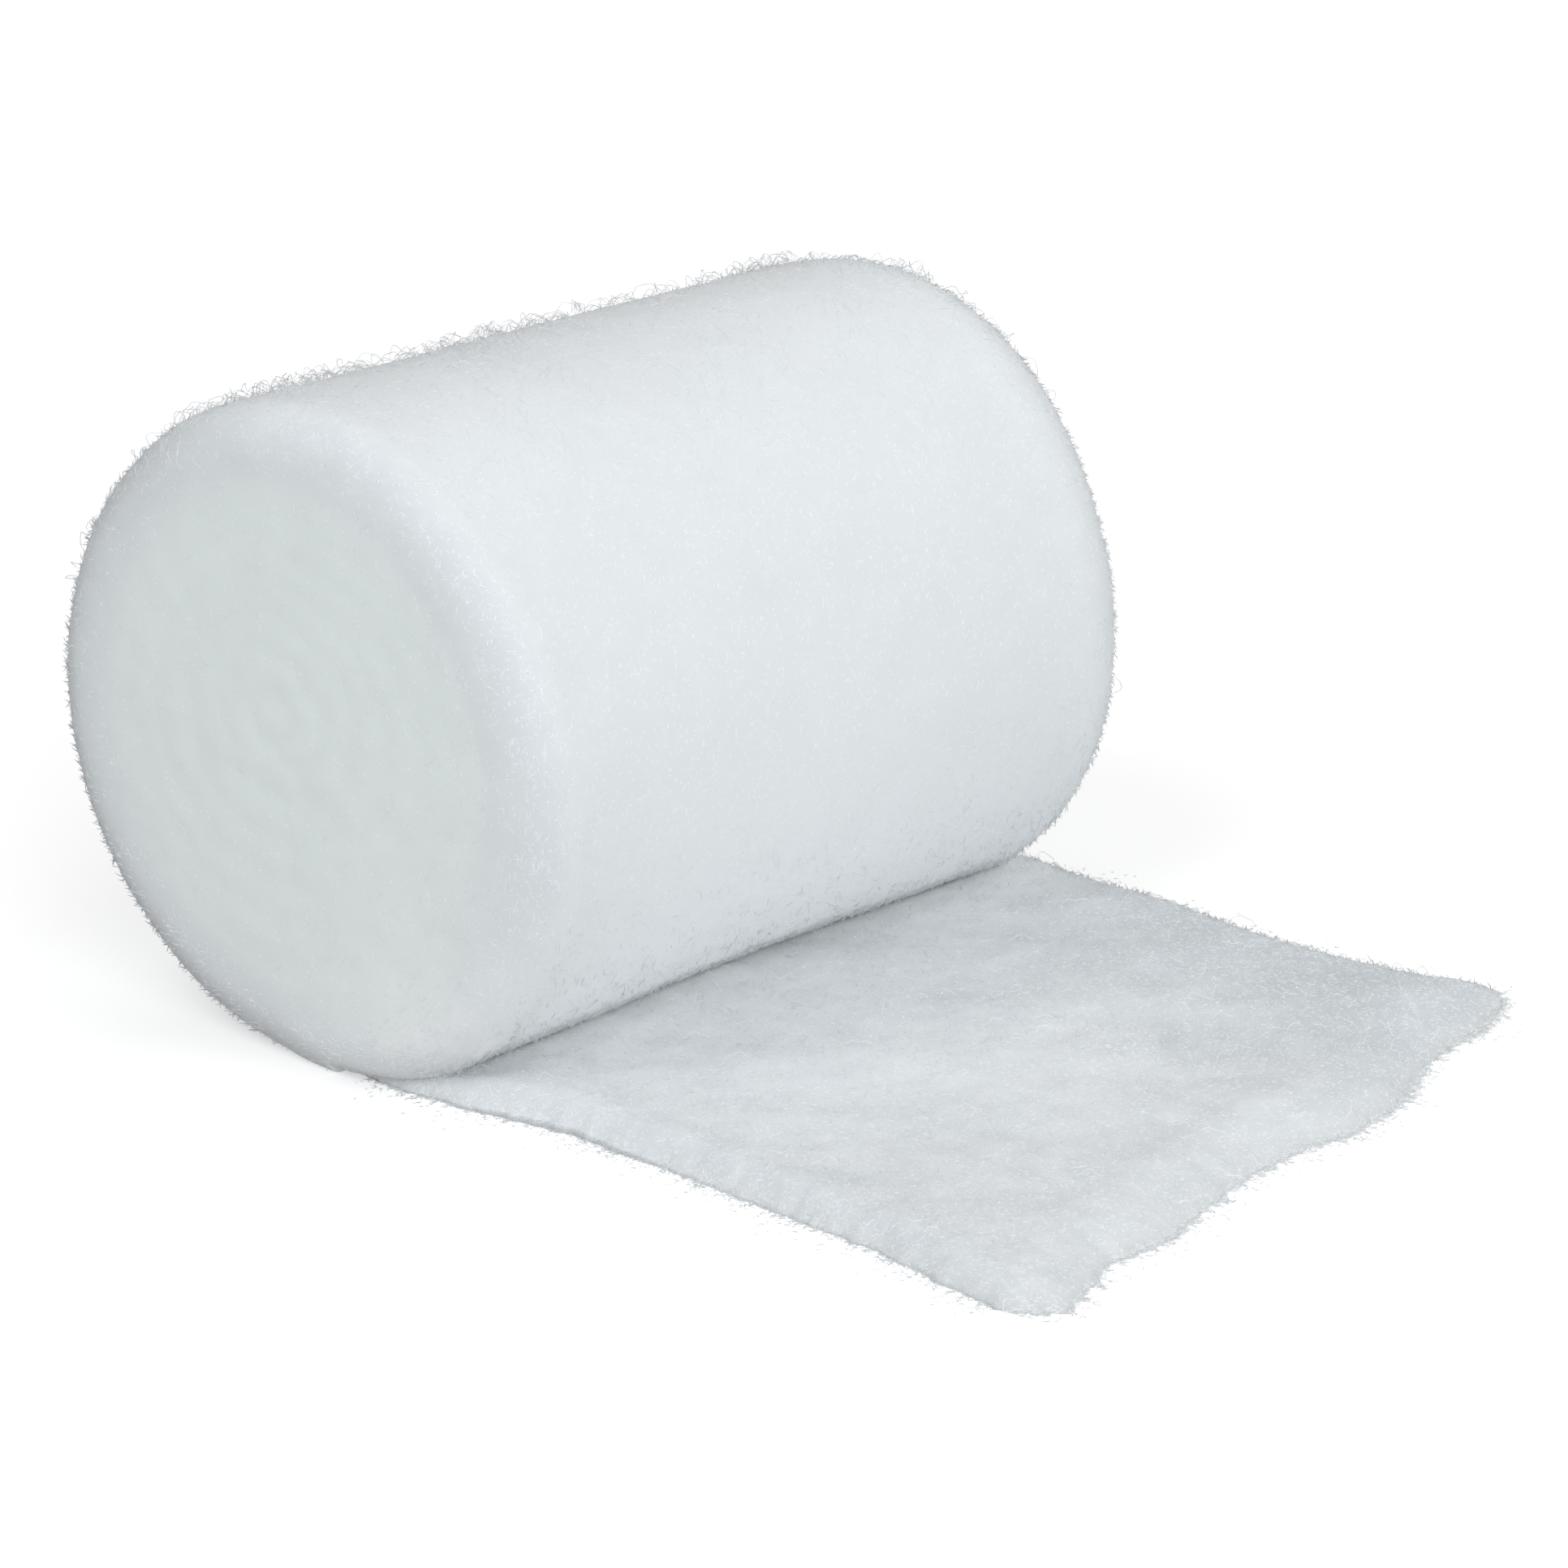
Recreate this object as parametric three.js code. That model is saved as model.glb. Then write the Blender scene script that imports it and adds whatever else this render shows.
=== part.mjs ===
// A roll of cast padding: one strip of soft white wadding wound on itself without a core,
// with its torn outer end lying in front of it.
// Sizes are millimetres. +Z is up and z = 0 is the surface that the roll lies on.
// The roll's axis runs along Y. The loose end leaves the underside towards +X.
// The origin is on the surface, under the middle of the roll.

import * as THREE from 'three';
import { mergeVertices } from 'three/addons/utils/BufferGeometryUtils.js';

// The strip
const STRIP_WIDTH = 100;
const HALF_WIDTH = STRIP_WIDTH / 2;
const STRIP_THICKNESS = 2.6;
const PRESSED_THICKNESS = 1.3;
const WOUND_LAYER = 1.5;

// The clearance between the roll and the loose end: where the roll presses on it,
// in front of there, and along Y under the roll's far rim
const PIECE_GAP = 0.35;
const LOOSE_CLEARANCE = 0.95;
const RIM_CLEARANCE = 2;

// The roll's section is an oval. Its long way leans forward from upright.
const OVAL_LONG_RADIUS = 38.5;
const OVAL_SHORT_RADIUS = 36.1;
const OVAL_LEAN = THREE.MathUtils.degToRad(7.5);
const ROLL_RADIUS = (OVAL_LONG_RADIUS + OVAL_SHORT_RADIUS) / 2;
const AXIS_HEIGHT = 37.5;
const AXIS_X = 0.5;

// The outer turn leaves the roll along this line, on the surface.
const LEAVING_X = 2.5;
const LEAVING_ANGLE = Math.atan2(-AXIS_HEIGHT, LEAVING_X - AXIS_X);
const STEP_ANGLE = THREE.MathUtils.degToRad(0.3);

// The roll's weight spreads its underside over this half angle.
const SPREAD_ANGLE = THREE.MathUtils.degToRad(22);
const SPREAD_DEPTH = 0.45;

// The roll's ends, reach away from its middle. slopeX and slopeZ tilt an end, dish sinks its
// middle, its rim is rounded more or less from top to underside, and slip is how far the
// outer turns stand out along Y at the underside.
const NEAR_END = {
  side: -1,
  reach: 50.4,
  slopeX: 0.093,
  slopeZ: -0.05,
  roundingTop: 5.2,
  roundingUnder: 8,
  dish: 1.4,
  slip: 0,
};
const FAR_END = {
  side: 1,
  reach: 49.8,
  slopeX: 0.052,
  slopeZ: 0.027,
  roundingTop: 13,
  roundingUnder: 4.7,
  dish: 1.6,
  slip: 2,
};
const PROFILE_ROUNDING = 7;

// Soft unevenness of the roll: waves round the section and along the axis.
const ROLL_WAVES = [
  { height: 0.25, round: 3, along: 0.006, phase: 3.1 },
  { height: 0.12, round: 2, along: -0.06, phase: 2.1 },
  { height: 0.1, round: 5, along: 0.09, phase: 4.0 },
];

// Mesh steps of the roll
const ROUND_STEPS = 72;
const FACE_RINGS = 7;
const RIM_STEPS = 5;
const SIDE_STEPS = 14;

// The loose end's long edges, seen from above
const LOOSE_START_X = 3.1;
const NEAR_EDGE = [
  { x: 3, y: -45.4 },
  { x: 10, y: -44.4 },
  { x: 20, y: -43.9 },
  { x: 34, y: -40.8 },
  { x: 60, y: -40.9 },
  { x: 80, y: -41.5 },
  { x: 94, y: -43.4 },
  { x: 104, y: -44.2 },
];
const FAR_EDGE = [
  { x: 3, y: 50.0 },
  { x: 8, y: 55.4 },
  { x: 15, y: 58.4 },
  { x: 26, y: 55.4 },
  { x: 44, y: 56.5 },
  { x: 56, y: 56.4 },
  { x: 66, y: 56.6 },
  { x: 76, y: 57.0 },
  { x: 82, y: 59.4 },
  { x: 104, y: 60.2 },
];

// The torn end. across is measured over the strip's width from its near edge.
const TORN_END = [
  { across: 0, x: 97.3 },
  { across: 2, x: 101.2 },
  { across: 5, x: 103.0 },
  { across: 10, x: 100.8 },
  { across: 16, x: 98.1 },
  { across: 23, x: 99.2 },
  { across: 31, x: 96.9 },
  { across: 37, x: 95.2 },
  { across: 44, x: 93.8 },
  { across: 52, x: 93.4 },
  { across: 59, x: 94.8 },
  { across: 67, x: 93.3 },
  { across: 74, x: 90.9 },
  { across: 80, x: 87.8 },
  { across: 86, x: 87.1 },
  { across: 92, x: 86.9 },
  { across: 97, x: 84.9 },
  { across: 100, x: 82.5 },
];

// Where the loose end stands up from the surface. reach is the radius of each soft hump.
const LIFTS = [
  { x: 33, y: -44, reach: 20, height: 1.1 },
  { x: 85, y: 60, reach: 26, height: 2.2 },
  { x: 56, y: 8, reach: 22, height: 0.7 },
  { x: 100, y: -20, reach: 14, height: 0.6 },
  { x: 30, y: 56, reach: 16, height: 0.8 },
];

// Lumps in the loose end's thickness
const LUMPS = [
  { height: 0.22, alongX: 0.21, alongY: 0.09, phase: 0.4 },
  { height: 0.18, alongX: -0.1, alongY: 0.17, phase: 2.0 },
  { height: 0.14, alongX: 0.3, alongY: -0.26, phase: 4.4 },
];

// The loose end thins towards its edges over these distances, to this share of its thickness.
const SIDE_TAPER = 3;
const TORN_TAPER = 7;
const EDGE_SHARE = 0.36;
const EDGE_BULGE = 0.35;

// Mesh steps of the loose end. The steps crowd towards the torn end and both long edges.
const LENGTH_STEPS = 30;
const WIDTH_STEPS = 40;
const TORN_CROWDING = 1.25;
const EDGE_CROWDING = 0.7;

// Repeats that settle the angle under a place, and the distance that joins vertices
const UNDERSIDE_PASSES = 5;
const MERGE_DISTANCE = 1e-5;

const WADDING_WHITE = 0xe3e8eb;
const TWO_PI = Math.PI * 2;

function clamp01(value) {
  return THREE.MathUtils.clamp(value, 0, 1);
}

// The value of one column of a table at a place in another, with straight steps between rows
function lookUp(rows, placeKey, valueKey, place) {
  const last = rows.length - 1;
  let row = 0;
  while (row < last - 1 && rows[row + 1][placeKey] < place) {
    row += 1;
  }
  const low = rows[row];
  const high = rows[row + 1];
  const share = clamp01((place - low[placeKey]) / (high[placeKey] - low[placeKey]));
  return THREE.MathUtils.lerp(low[valueKey], high[valueKey], share);
}

// A closed body, with the vertices that share a place joined
function closedMesh(name, geometry) {
  geometry.deleteAttribute('normal');
  geometry.deleteAttribute('uv');
  const closed = mergeVertices(geometry, MERGE_DISTANCE);
  closed.computeVertexNormals();
  const material = new THREE.MeshStandardMaterial({
    color: WADDING_WHITE,
    roughness: 0.95,
    metalness: 0,
  });
  const mesh = new THREE.Mesh(closed, material);
  mesh.name = name;
  return mesh;
}

// Every vertex moved to the place that a function gives for it
function reshape(geometry, placeOf) {
  const positions = geometry.getAttribute('position');
  const vertex = new THREE.Vector3();
  for (let index = 0; index < positions.count; index += 1) {
    vertex.fromBufferAttribute(positions, index);
    const place = placeOf(vertex);
    positions.setXYZ(index, place.x, place.y, place.z);
  }
}

// Half of the roll's profile, from the axis out over one end's face and rim
function endProfile(end) {
  const faceRadius = ROLL_RADIUS - PROFILE_ROUNDING;
  const points = [];
  for (let ring = 0; ring < FACE_RINGS; ring += 1) {
    points.push(new THREE.Vector2(faceRadius * ring / FACE_RINGS, end.side * HALF_WIDTH));
  }
  for (let step = 0; step <= RIM_STEPS; step += 1) {
    const turn = (Math.PI / 2) * (step / RIM_STEPS);
    const depth = PROFILE_ROUNDING * (1 - Math.cos(turn));
    const radius = faceRadius + PROFILE_ROUNDING * Math.sin(turn);
    points.push(new THREE.Vector2(radius, end.side * (HALF_WIDTH - depth)));
  }
  return points;
}

// The whole profile, from one end's middle over the side to the other end's middle
function rollProfile() {
  const nearPoints = endProfile(NEAR_END);
  const farPoints = endProfile(FAR_END).reverse();
  const from = nearPoints[nearPoints.length - 1];
  const to = farPoints[0];
  const sidePoints = [];
  for (let step = 1; step < SIDE_STEPS; step += 1) {
    sidePoints.push(from.clone().lerp(to, step / SIDE_STEPS));
  }
  return [...nearPoints, ...sidePoints, ...farPoints];
}

// The distance from the axis to the even oval, in the direction of an angle
function ovalRadius(angle) {
  const fromLongWay = angle - (Math.PI / 2 - OVAL_LEAN);
  const long = Math.cos(fromLongWay) / OVAL_LONG_RADIUS;
  const short = Math.sin(fromLongWay) / OVAL_SHORT_RADIUS;
  return 1 / Math.hypot(long, short);
}

// The outer surface's distance from the axis. wound goes from 0 at the leaving line,
// over the back and the top, to 1 after a whole turn, where the next layer is outermost.
function sectionRadius(angle, wound, y) {
  const spiral = WOUND_LAYER * (0.5 - wound);
  const fromBottom = Math.atan2(-Math.cos(angle), -Math.sin(angle)) / SPREAD_ANGLE;
  const spread = SPREAD_DEPTH * Math.exp(-fromBottom * fromBottom);
  let radius = ovalRadius(angle) + spiral + spread;
  for (const wave of ROLL_WAVES) {
    radius += wave.height * Math.sin(wave.round * angle + wave.along * y + wave.phase);
  }
  return radius;
}

// A distance from the rim, with the profile's rounding stretched to another
function stretched(distance, rounding, whole) {
  if (distance < PROFILE_ROUNDING) {
    return distance * (rounding / PROFILE_ROUNDING);
  }
  return rounding + (distance - PROFILE_ROUNDING) * (whole - rounding) / (whole - PROFILE_ROUNDING);
}

// A point of the lathe's even roll moved to its place in the wound one
function rollPlace(vertex) {
  const profileRadius = Math.hypot(vertex.x, vertex.z);
  const turn = Math.atan2(vertex.x, vertex.z) / TWO_PI;
  const column = (Math.round(turn * ROUND_STEPS) + ROUND_STEPS) % ROUND_STEPS;
  const wound = column / (ROUND_STEPS - 1);
  const angle = LEAVING_ANGLE - wound * (TWO_PI - STEP_ANGLE);
  const end = vertex.y < 0 ? NEAR_END : FAR_END;
  const towardsUnderside = (1 - Math.sin(angle)) / 2;
  const rounding = THREE.MathUtils.lerp(end.roundingTop, end.roundingUnder, towardsUnderside ** 2);
  const inset = stretched(ROLL_RADIUS - profileRadius, rounding, ROLL_RADIUS);
  const share = 1 - inset / ROLL_RADIUS;
  const rimDepth = stretched(HALF_WIDTH - Math.abs(vertex.y), rounding, HALF_WIDTH);
  const faceShare = clamp01(profileRadius / (ROLL_RADIUS - PROFILE_ROUNDING));
  const depth = rimDepth + end.dish * (1 - faceShare * faceShare);
  const radius = share * sectionRadius(angle, wound, vertex.y);
  const x = radius * Math.cos(angle);
  const height = radius * Math.sin(angle);
  const slip = end.slip * (towardsUnderside * share) ** 3;
  const endShift = end.slopeX * x + end.slopeZ * height + end.side * (end.reach - HALF_WIDTH + slip);
  const onStrip = wound > 0.5;
  const floor = onStrip ? PRESSED_THICKNESS + PIECE_GAP : 0;
  return {
    x: AXIS_X + x,
    y: end.side * (HALF_WIDTH - depth) + endShift * (1 - depth / HALF_WIDTH),
    z: Math.max(AXIS_HEIGHT + height, floor),
  };
}

function makeWoundRoll() {
  const geometry = new THREE.LatheGeometry(rollProfile(), ROUND_STEPS);
  reshape(geometry, rollPlace);
  return closedMesh('wound_roll', geometry);
}

// The height of the roll's underside over a place in front of the leaving line
function undersideHeight(x, y) {
  let angle = -Math.PI / 2;
  let radius = ROLL_RADIUS;
  for (let pass = 0; pass < UNDERSIDE_PASSES; pass += 1) {
    const wound = 1 - (angle - LEAVING_ANGLE) / TWO_PI;
    radius = sectionRadius(angle, wound, y);
    angle = -Math.acos(Math.min((x - AXIS_X) / radius, 1));
  }
  return AXIS_HEIGHT + radius * Math.sin(angle);
}

// The room for the strip under the roll. Past the far rim nothing presses on it.
function roomUnderRoll(x, y) {
  const rounding = FAR_END.roundingUnder;
  const rimY = FAR_END.reach + FAR_END.slip - rounding + RIM_CLEARANCE;
  const pastRim = clamp01((y - rimY) / rounding);
  const rimRise = rounding * (1 - Math.sqrt(1 - pastRim * pastRim));
  return Math.max(PRESSED_THICKNESS, undersideHeight(x, y) + rimRise - LOOSE_CLEARANCE);
}

// How far the underside stands up from the surface
function liftHeight(x, y) {
  let lift = 0;
  for (const hump of LIFTS) {
    const away = clamp01(Math.hypot(x - hump.x, y - hump.y) / hump.reach);
    lift += hump.height * (1 - away * away) ** 2;
  }
  return lift;
}

// A rounded thinning towards an edge, from EDGE_SHARE on the edge to 1 inside
function edgeShare(distance, taper) {
  const inside = clamp01(distance / taper);
  return EDGE_SHARE + (1 - EDGE_SHARE) * Math.sqrt(1 - (1 - inside) ** 2);
}

// The lumpy thickness of the loose end, thinner towards its edges
function looseThickness(x, y, fromSide, fromTorn) {
  let thickness = STRIP_THICKNESS;
  for (const lump of LUMPS) {
    thickness += lump.height * Math.sin(lump.alongX * x + lump.alongY * y + lump.phase);
  }
  return thickness * Math.min(edgeShare(fromSide, SIDE_TAPER), edgeShare(fromTorn, TORN_TAPER));
}

// Even steps, crowded towards both ends
function crowded(share) {
  return share - EDGE_CROWDING * Math.sin(TWO_PI * share) / TWO_PI;
}

// A unit box's point moved to its place in the sheet. The box's X runs along the strip,
// its Y over the width and its Z from the underside to the top.
function sheetPlace(vertex) {
  const along = 1 - (0.5 - vertex.x) ** TORN_CROWDING;
  const over = crowded(vertex.y + 0.5);
  const upper = vertex.z + 0.5;
  const tornX = lookUp(TORN_END, 'across', 'x', over * STRIP_WIDTH);
  const x = THREE.MathUtils.lerp(LOOSE_START_X, tornX, along);
  const nearY = lookUp(NEAR_EDGE, 'x', 'y', x);
  const farY = lookUp(FAR_EDGE, 'x', 'y', x);
  const y = THREE.MathUtils.lerp(nearY, farY, over);
  const fromSide = Math.min(over, 1 - over) * (farY - nearY);
  const lift = liftHeight(x, y);
  const thickness = looseThickness(x, y, fromSide, tornX - x);
  const top = Math.min(lift + thickness, roomUnderRoll(x, y));
  const bulge = EDGE_BULGE * 4 * upper * (1 - upper);
  return {
    x: x + (along === 1 ? bulge : 0),
    y: y + (over === 1 ? bulge : 0) - (over === 0 ? bulge : 0),
    z: THREE.MathUtils.lerp(lift, top, upper),
  };
}

function makeLooseEnd() {
  const geometry = new THREE.BoxGeometry(1, 1, 1, LENGTH_STEPS, WIDTH_STEPS, 2);
  reshape(geometry, sheetPlace);
  return closedMesh('loose_end', geometry);
}

const paddingRoll = new THREE.Group();
paddingRoll.add(makeWoundRoll());
paddingRoll.add(makeLooseEnd());

export default paddingRoll;
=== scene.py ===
"""A roll of soft white cast padding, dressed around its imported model.

One strip of wadding is wound on itself without a core, and its torn outer end lies in front
of the roll. Sizes are metres. +Z is up, the roll's axis runs along Y, and the loose end leaves
the roll's underside towards +X.
"""

import math

import bpy
import numpy as np
from mathutils import Matrix, Vector, noise


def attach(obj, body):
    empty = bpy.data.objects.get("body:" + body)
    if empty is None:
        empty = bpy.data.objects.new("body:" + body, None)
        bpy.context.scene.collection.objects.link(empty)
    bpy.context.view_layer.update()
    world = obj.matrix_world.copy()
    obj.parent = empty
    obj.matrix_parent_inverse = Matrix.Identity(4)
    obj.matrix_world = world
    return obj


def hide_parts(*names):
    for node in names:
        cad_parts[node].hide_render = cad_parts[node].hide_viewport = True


# The strip. Its loose end's flat length runs from under the roll to the torn end.
STRIP_WIDTH = 0.1
HALF_WIDTH = STRIP_WIDTH / 2
STRIP_THICKNESS = 0.0026
PRESSED_THICKNESS = 0.0013
WOUND_LAYER = 0.0015

# The room between the roll and the loose end: pressed together, in front, and under the rims
SEAM_GAP = 0.00012
LOOSE_CLEARANCE = 0.0005
NEAR_RIM_Y = 0.0395
FAR_RIM_Y = 0.0491

# The roll's section is an oval whose long way leans forward from upright.
OVAL_LONG_RADIUS = 0.0385
OVAL_SHORT_RADIUS = 0.0361
OVAL_LEAN = math.radians(7.5)
ROLL_RADIUS = (OVAL_LONG_RADIUS + OVAL_SHORT_RADIUS) / 2
AXIS_HEIGHT = 0.0375
AXIS_X = 0.0005

# The outer turn leaves the roll along this line, in a steep step that the roll has there. The
# step fades inwards from the outside, and towards the roll's ends.
LEAVING_X = 0.0025
LEAVING_ANGLE = math.atan2(-AXIS_HEIGHT, LEAVING_X - AXIS_X)
STEP_ANGLE = math.radians(0.3)
STEP_FADING = 0.85
STEP_END_FADING = 0.012

# The roll's weight spreads its underside over this half angle.
SPREAD_ANGLE = math.radians(22)
SPREAD_DEPTH = 0.00045

# The roll sags forward a little towards its near end.
SAG_ANGLE = math.radians(-57)
SAG_WIDTH = math.radians(20)
SAG_DEPTH = 0.0007
SAG_LENGTH = 0.04

# The roll's ends, reach away from its middle. slope_x and slope_z tilt an end, and dish sinks its
# middle. Its rim is rounded more or less from top to underside, and is sharper low in front. slip
# is how far the outer turns stand out along Y at the underside.
NEAR_END = {
    "side": -1, "reach": 0.0504, "slope_x": 0.093, "slope_z": -0.05,
    "rounding_top": 0.0052, "rounding_under": 0.008, "sharper": 0.0025, "dish": -0.0006, "slip": 0,
}
FAR_END = {
    "side": 1, "reach": 0.0498, "slope_x": 0.052, "slope_z": 0.027,
    "rounding_top": 0.013, "rounding_under": 0.0047, "sharper": 0, "dish": 0.0016, "slip": 0.002,
}
SHARPER_ANGLE = math.radians(-65)
SHARPER_NARROWNESS = 5
PROFILE_ROUNDING = 0.007
FACE_RADIUS = ROLL_RADIUS - PROFILE_ROUNDING

# Soft waves of the roll. along is in radians a metre.
ROLL_WAVES = [
    {"height": 0.00025, "round": 3, "along": 6, "phase": 3.1},
    {"height": 0.00012, "round": 2, "along": -60, "phase": 2.1},
    {"height": 0.0001, "round": 5, "along": 90, "phase": 4.0},
]

# The roll's soft relief, in patches of a size. Each random pattern has a seed of its own.
ROLL_RELIEF = [
    {"height": 0.0001, "patch": 0.009, "seed": 1},
    {"height": 0.00002, "patch": 0.0022, "seed": 2},
]

# Mesh steps of the roll
ROUND_STEPS = 270
FACE_RINGS = 44
RIM_STEPS = 14
SIDE_STEPS = 110

# The turns on the roll's ends: looser in the middle than outside, with a soft groove between.
# They wander in and out, and the innermost lie a little off the axis.
MIDDLE_TURN = 0.005
OUTER_TURN = 0.004
GROOVE_SHARE = 0.24
MIDDLE_GROOVE = 0.0001
OUTER_GROOVE = 0.00003
GROOVE_FADING = 0.6
TURN_WANDER = 0.3
TURN_WANDER_PATCH = 0.012
TURN_WANDER_SEED = 3
MIDDLE_SHIFT_X = -0.001
MIDDLE_SHIFT_Z = 0.0045

# The strip's cut edges show on the ends from this far inside the roll, and fade in from there.
CUT_START = 0.0035
CUT_FADING = 0.009

# The width of the rims, where shade is painted on the roll and where it is fuzzier
RIM_ZONE = 0.008

# The loose end's long edges seen from above, and its torn end over the strip's width
LOOSE_START_X = -0.01
NEAR_EDGE_X = [-0.010, -0.004, 0.003, 0.010, 0.020, 0.034, 0.060, 0.080, 0.094, 0.104]
NEAR_EDGE_Y = [-0.0405, -0.0425, -0.0448, -0.0444, -0.0437, -0.0406, -0.0409, -0.0415, -0.0434, -0.0442]
FAR_EDGE_X = [-0.010, 0.003, 0.008, 0.015, 0.026, 0.044, 0.056, 0.066, 0.076, 0.082, 0.104]
FAR_EDGE_Y = [0.0440, 0.0500, 0.0550, 0.0572, 0.0562, 0.0565, 0.0564, 0.0566, 0.057, 0.0594, 0.0602]
TORN_END_OVER = [
    0, 0.02, 0.05, 0.10, 0.16, 0.23, 0.31, 0.37, 0.44,
    0.52, 0.59, 0.67, 0.74, 0.80, 0.86, 0.92, 0.97, 1,
]
TORN_END_X = [
    0.0973, 0.1012, 0.103, 0.1008, 0.0981, 0.0992, 0.0969, 0.0952, 0.0938,
    0.0934, 0.0948, 0.0933, 0.0909, 0.0878, 0.0871, 0.0869, 0.0849, 0.0825,
]

# Where the loose end stands up from the floor. reach is the radius of each soft hump. Near the
# long edges the wadding still hangs down to the floor.
LIFTS = [
    {"x": 0.033, "y": -0.044, "reach": 0.020, "height": 0.0007},
    {"x": 0.085, "y": 0.060, "reach": 0.026, "height": 0.0012},
    {"x": 0.056, "y": 0.008, "reach": 0.022, "height": 0.0007},
    {"x": 0.030, "y": 0.056, "reach": 0.016, "height": 0.0004},
]
EDGE_HANG = 0.006

# Lumps in the loose end's thickness. along_x and along_y are in radians a metre.
LUMPS = [
    {"height": 0.00012, "along_x": 210, "along_y": 90, "phase": 0.4},
    {"height": 0.0001, "along_x": -100, "along_y": 170, "phase": 2.0},
    {"height": 0.00008, "along_x": 300, "along_y": -260, "phase": 4.4},
]

# The loose end thins towards its edges over these distances, to a share of its thickness.
SIDE_TAPER = 0.0045
TORN_TAPER = 0.01
EDGE_SHARE = 0.1
LEAST_THICKNESS = 0.0002

# Under the roll's near rim the wadding is thick up to its edge, and fills the rim's rounding.
FILL_END_X = 0.024
FILL_LENGTH = 0.01
FILL_START_LENGTH = 0.006
FILLED_TAPER = 0.0012
FILLED_THINNING = 0.0009
FILLED_REACH = 0.006

# Wadding swells a little in front of the crease between the roll and the loose end.
CREASE_SWELL = 0.00015
CREASE_SWELL_X = 0.0155
CREASE_SWELL_REACH = 0.005

# Where the loose end is darker, in soft places of these radii: partly where its wadding is
# thinner, and partly painted shade that stands in for the shading of its lumps and edges
THIN_AND_SHADE_PLACES = [
    {"x": 0.043, "y": 0.013, "reach": 0.006, "share": 0.45},
    {"x": 0.038, "y": 0.000, "reach": 0.006, "share": 0.35},
    {"x": 0.070, "y": 0.020, "reach": 0.006, "share": 0.40},
    {"x": 0.031, "y": -0.018, "reach": 0.007, "share": 0.30},
    {"x": 0.068, "y": -0.016, "reach": 0.006, "share": 0.35},
    {"x": 0.044, "y": 0.046, "reach": 0.026, "share": 0.75},
    {"x": 0.082, "y": 0.046, "reach": 0.024, "share": 0.60},
]
THIN_PATCH = 0.005
THIN_SEED = 43
THIN_WANDER = 0.3
THIN_AND_SHADE_EDGES = 0.55
THIN_EDGE_REACH = 0.008

# The loose end's uneven thickness
LOOSE_RELIEF = [
    {"height": 0.0002, "patch": 0.006, "seed": 41},
    {"height": 0.00007, "patch": 0.0015, "seed": 42},
]

# How far the loose end's ragged edges stand in and out, in lobes with smaller tufts on them.
# The raggedness fades inwards.
RAGGED_TORN_END = {"lobe": 0.0006, "tuft": 0.0003, "seed": 11}
RAGGED_NEAR_EDGE = {"lobe": 0.0004, "tuft": 0.0003, "seed": 21}
RAGGED_FAR_EDGE = {"lobe": 0.0004, "tuft": 0.0003, "seed": 31}
LOBE_LENGTH = 0.0065
TUFT_LENGTH = 0.0014
RAGGED_REACH = 0.004

# Mesh steps of the loose end, which crowd towards its edges, and repeats that settle the angle
# under a place
LENGTH_STEPS = 170
WIDTH_STEPS = 168
TORN_CROWDING = 1.2
EDGE_CROWDING = 0.55
UNDERSIDE_PASSES = 5

# Kinds of fibres. steps is the number of points along a fibre, and behind the share of it that
# lies behind its place. spread is how far its direction strays from the strip's, in radians, and
# bend how much it curves aside. rise is how far it stands up, at its end if that is free and else
# in its middle. crimp is the size of its small waves and wave their length, and reach is how far
# out of an edge it starts.
FIBRE_KINDS = {
    "lying": {
        "steps": 3, "length": (0.0003, 0.001), "behind": 0.5, "spread": 0.9, "bend": 0.2,
        "rise": (0.00008, 0.0002), "free": False, "crimp": 0.00003, "wave": 0.0016,
        "thickness": 0.00008,
    },
    "fuzz": {
        "steps": 4, "length": (0.0005, 0.0014), "behind": 0.2, "spread": 1.3, "bend": 0.4,
        "rise": (0.0002, 0.0008), "free": True, "crimp": 0.0001, "wave": 0.0013,
        "thickness": 0.00011,
    },
    "hanging": {
        "steps": 4, "length": (0.0006, 0.0022), "behind": 0.1, "spread": 0.6, "bend": 0.4,
        "rise": (0.0001, 0.0006), "free": True, "crimp": 0.0001, "wave": 0.0013,
        "thickness": 0.00009,
    },
    "loop": {
        "steps": 8, "length": (0.0015, 0.0045), "behind": 0.5, "spread": 0.9, "bend": 0.35,
        "rise": (0.0003, 0.0018), "free": False, "crimp": 0.00025, "wave": 0.0022,
        "thickness": 0.00007,
    },
    "torn": {
        "steps": 4, "length": (0.0004, 0.0013), "behind": 0.5, "spread": 1.5, "bend": 0.4,
        "rise": (-0.0005, 0.0004), "free": True, "crimp": 0.00012, "wave": 0.0012,
        "thickness": 0.00009, "reach": 0.0003,
    },
    "side": {
        "steps": 4, "length": (0.0003, 0.001), "behind": 0.5, "spread": 1.5, "bend": 0.3,
        "rise": (-0.0003, 0.0003), "free": True, "crimp": 0.0001, "wave": 0.0012,
        "thickness": 0.00009, "reach": 0.00045,
    },
}

# Every fibre's shape: its sides, the bow of a free end, its small waves upwards beside those
# sideways, the roundness of its shading, how deep it is sunk, and its least height
FIBRE_SIDES = 3
FREE_BOW = 1.4
CRIMP_UP_SHARE = 0.6
CRIMP_UP_RATE = 1.3
FIBRE_ROUNDNESS = 0.8
SINK = 0.00006
FIBRE_FLOOR = 0.00005

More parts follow.
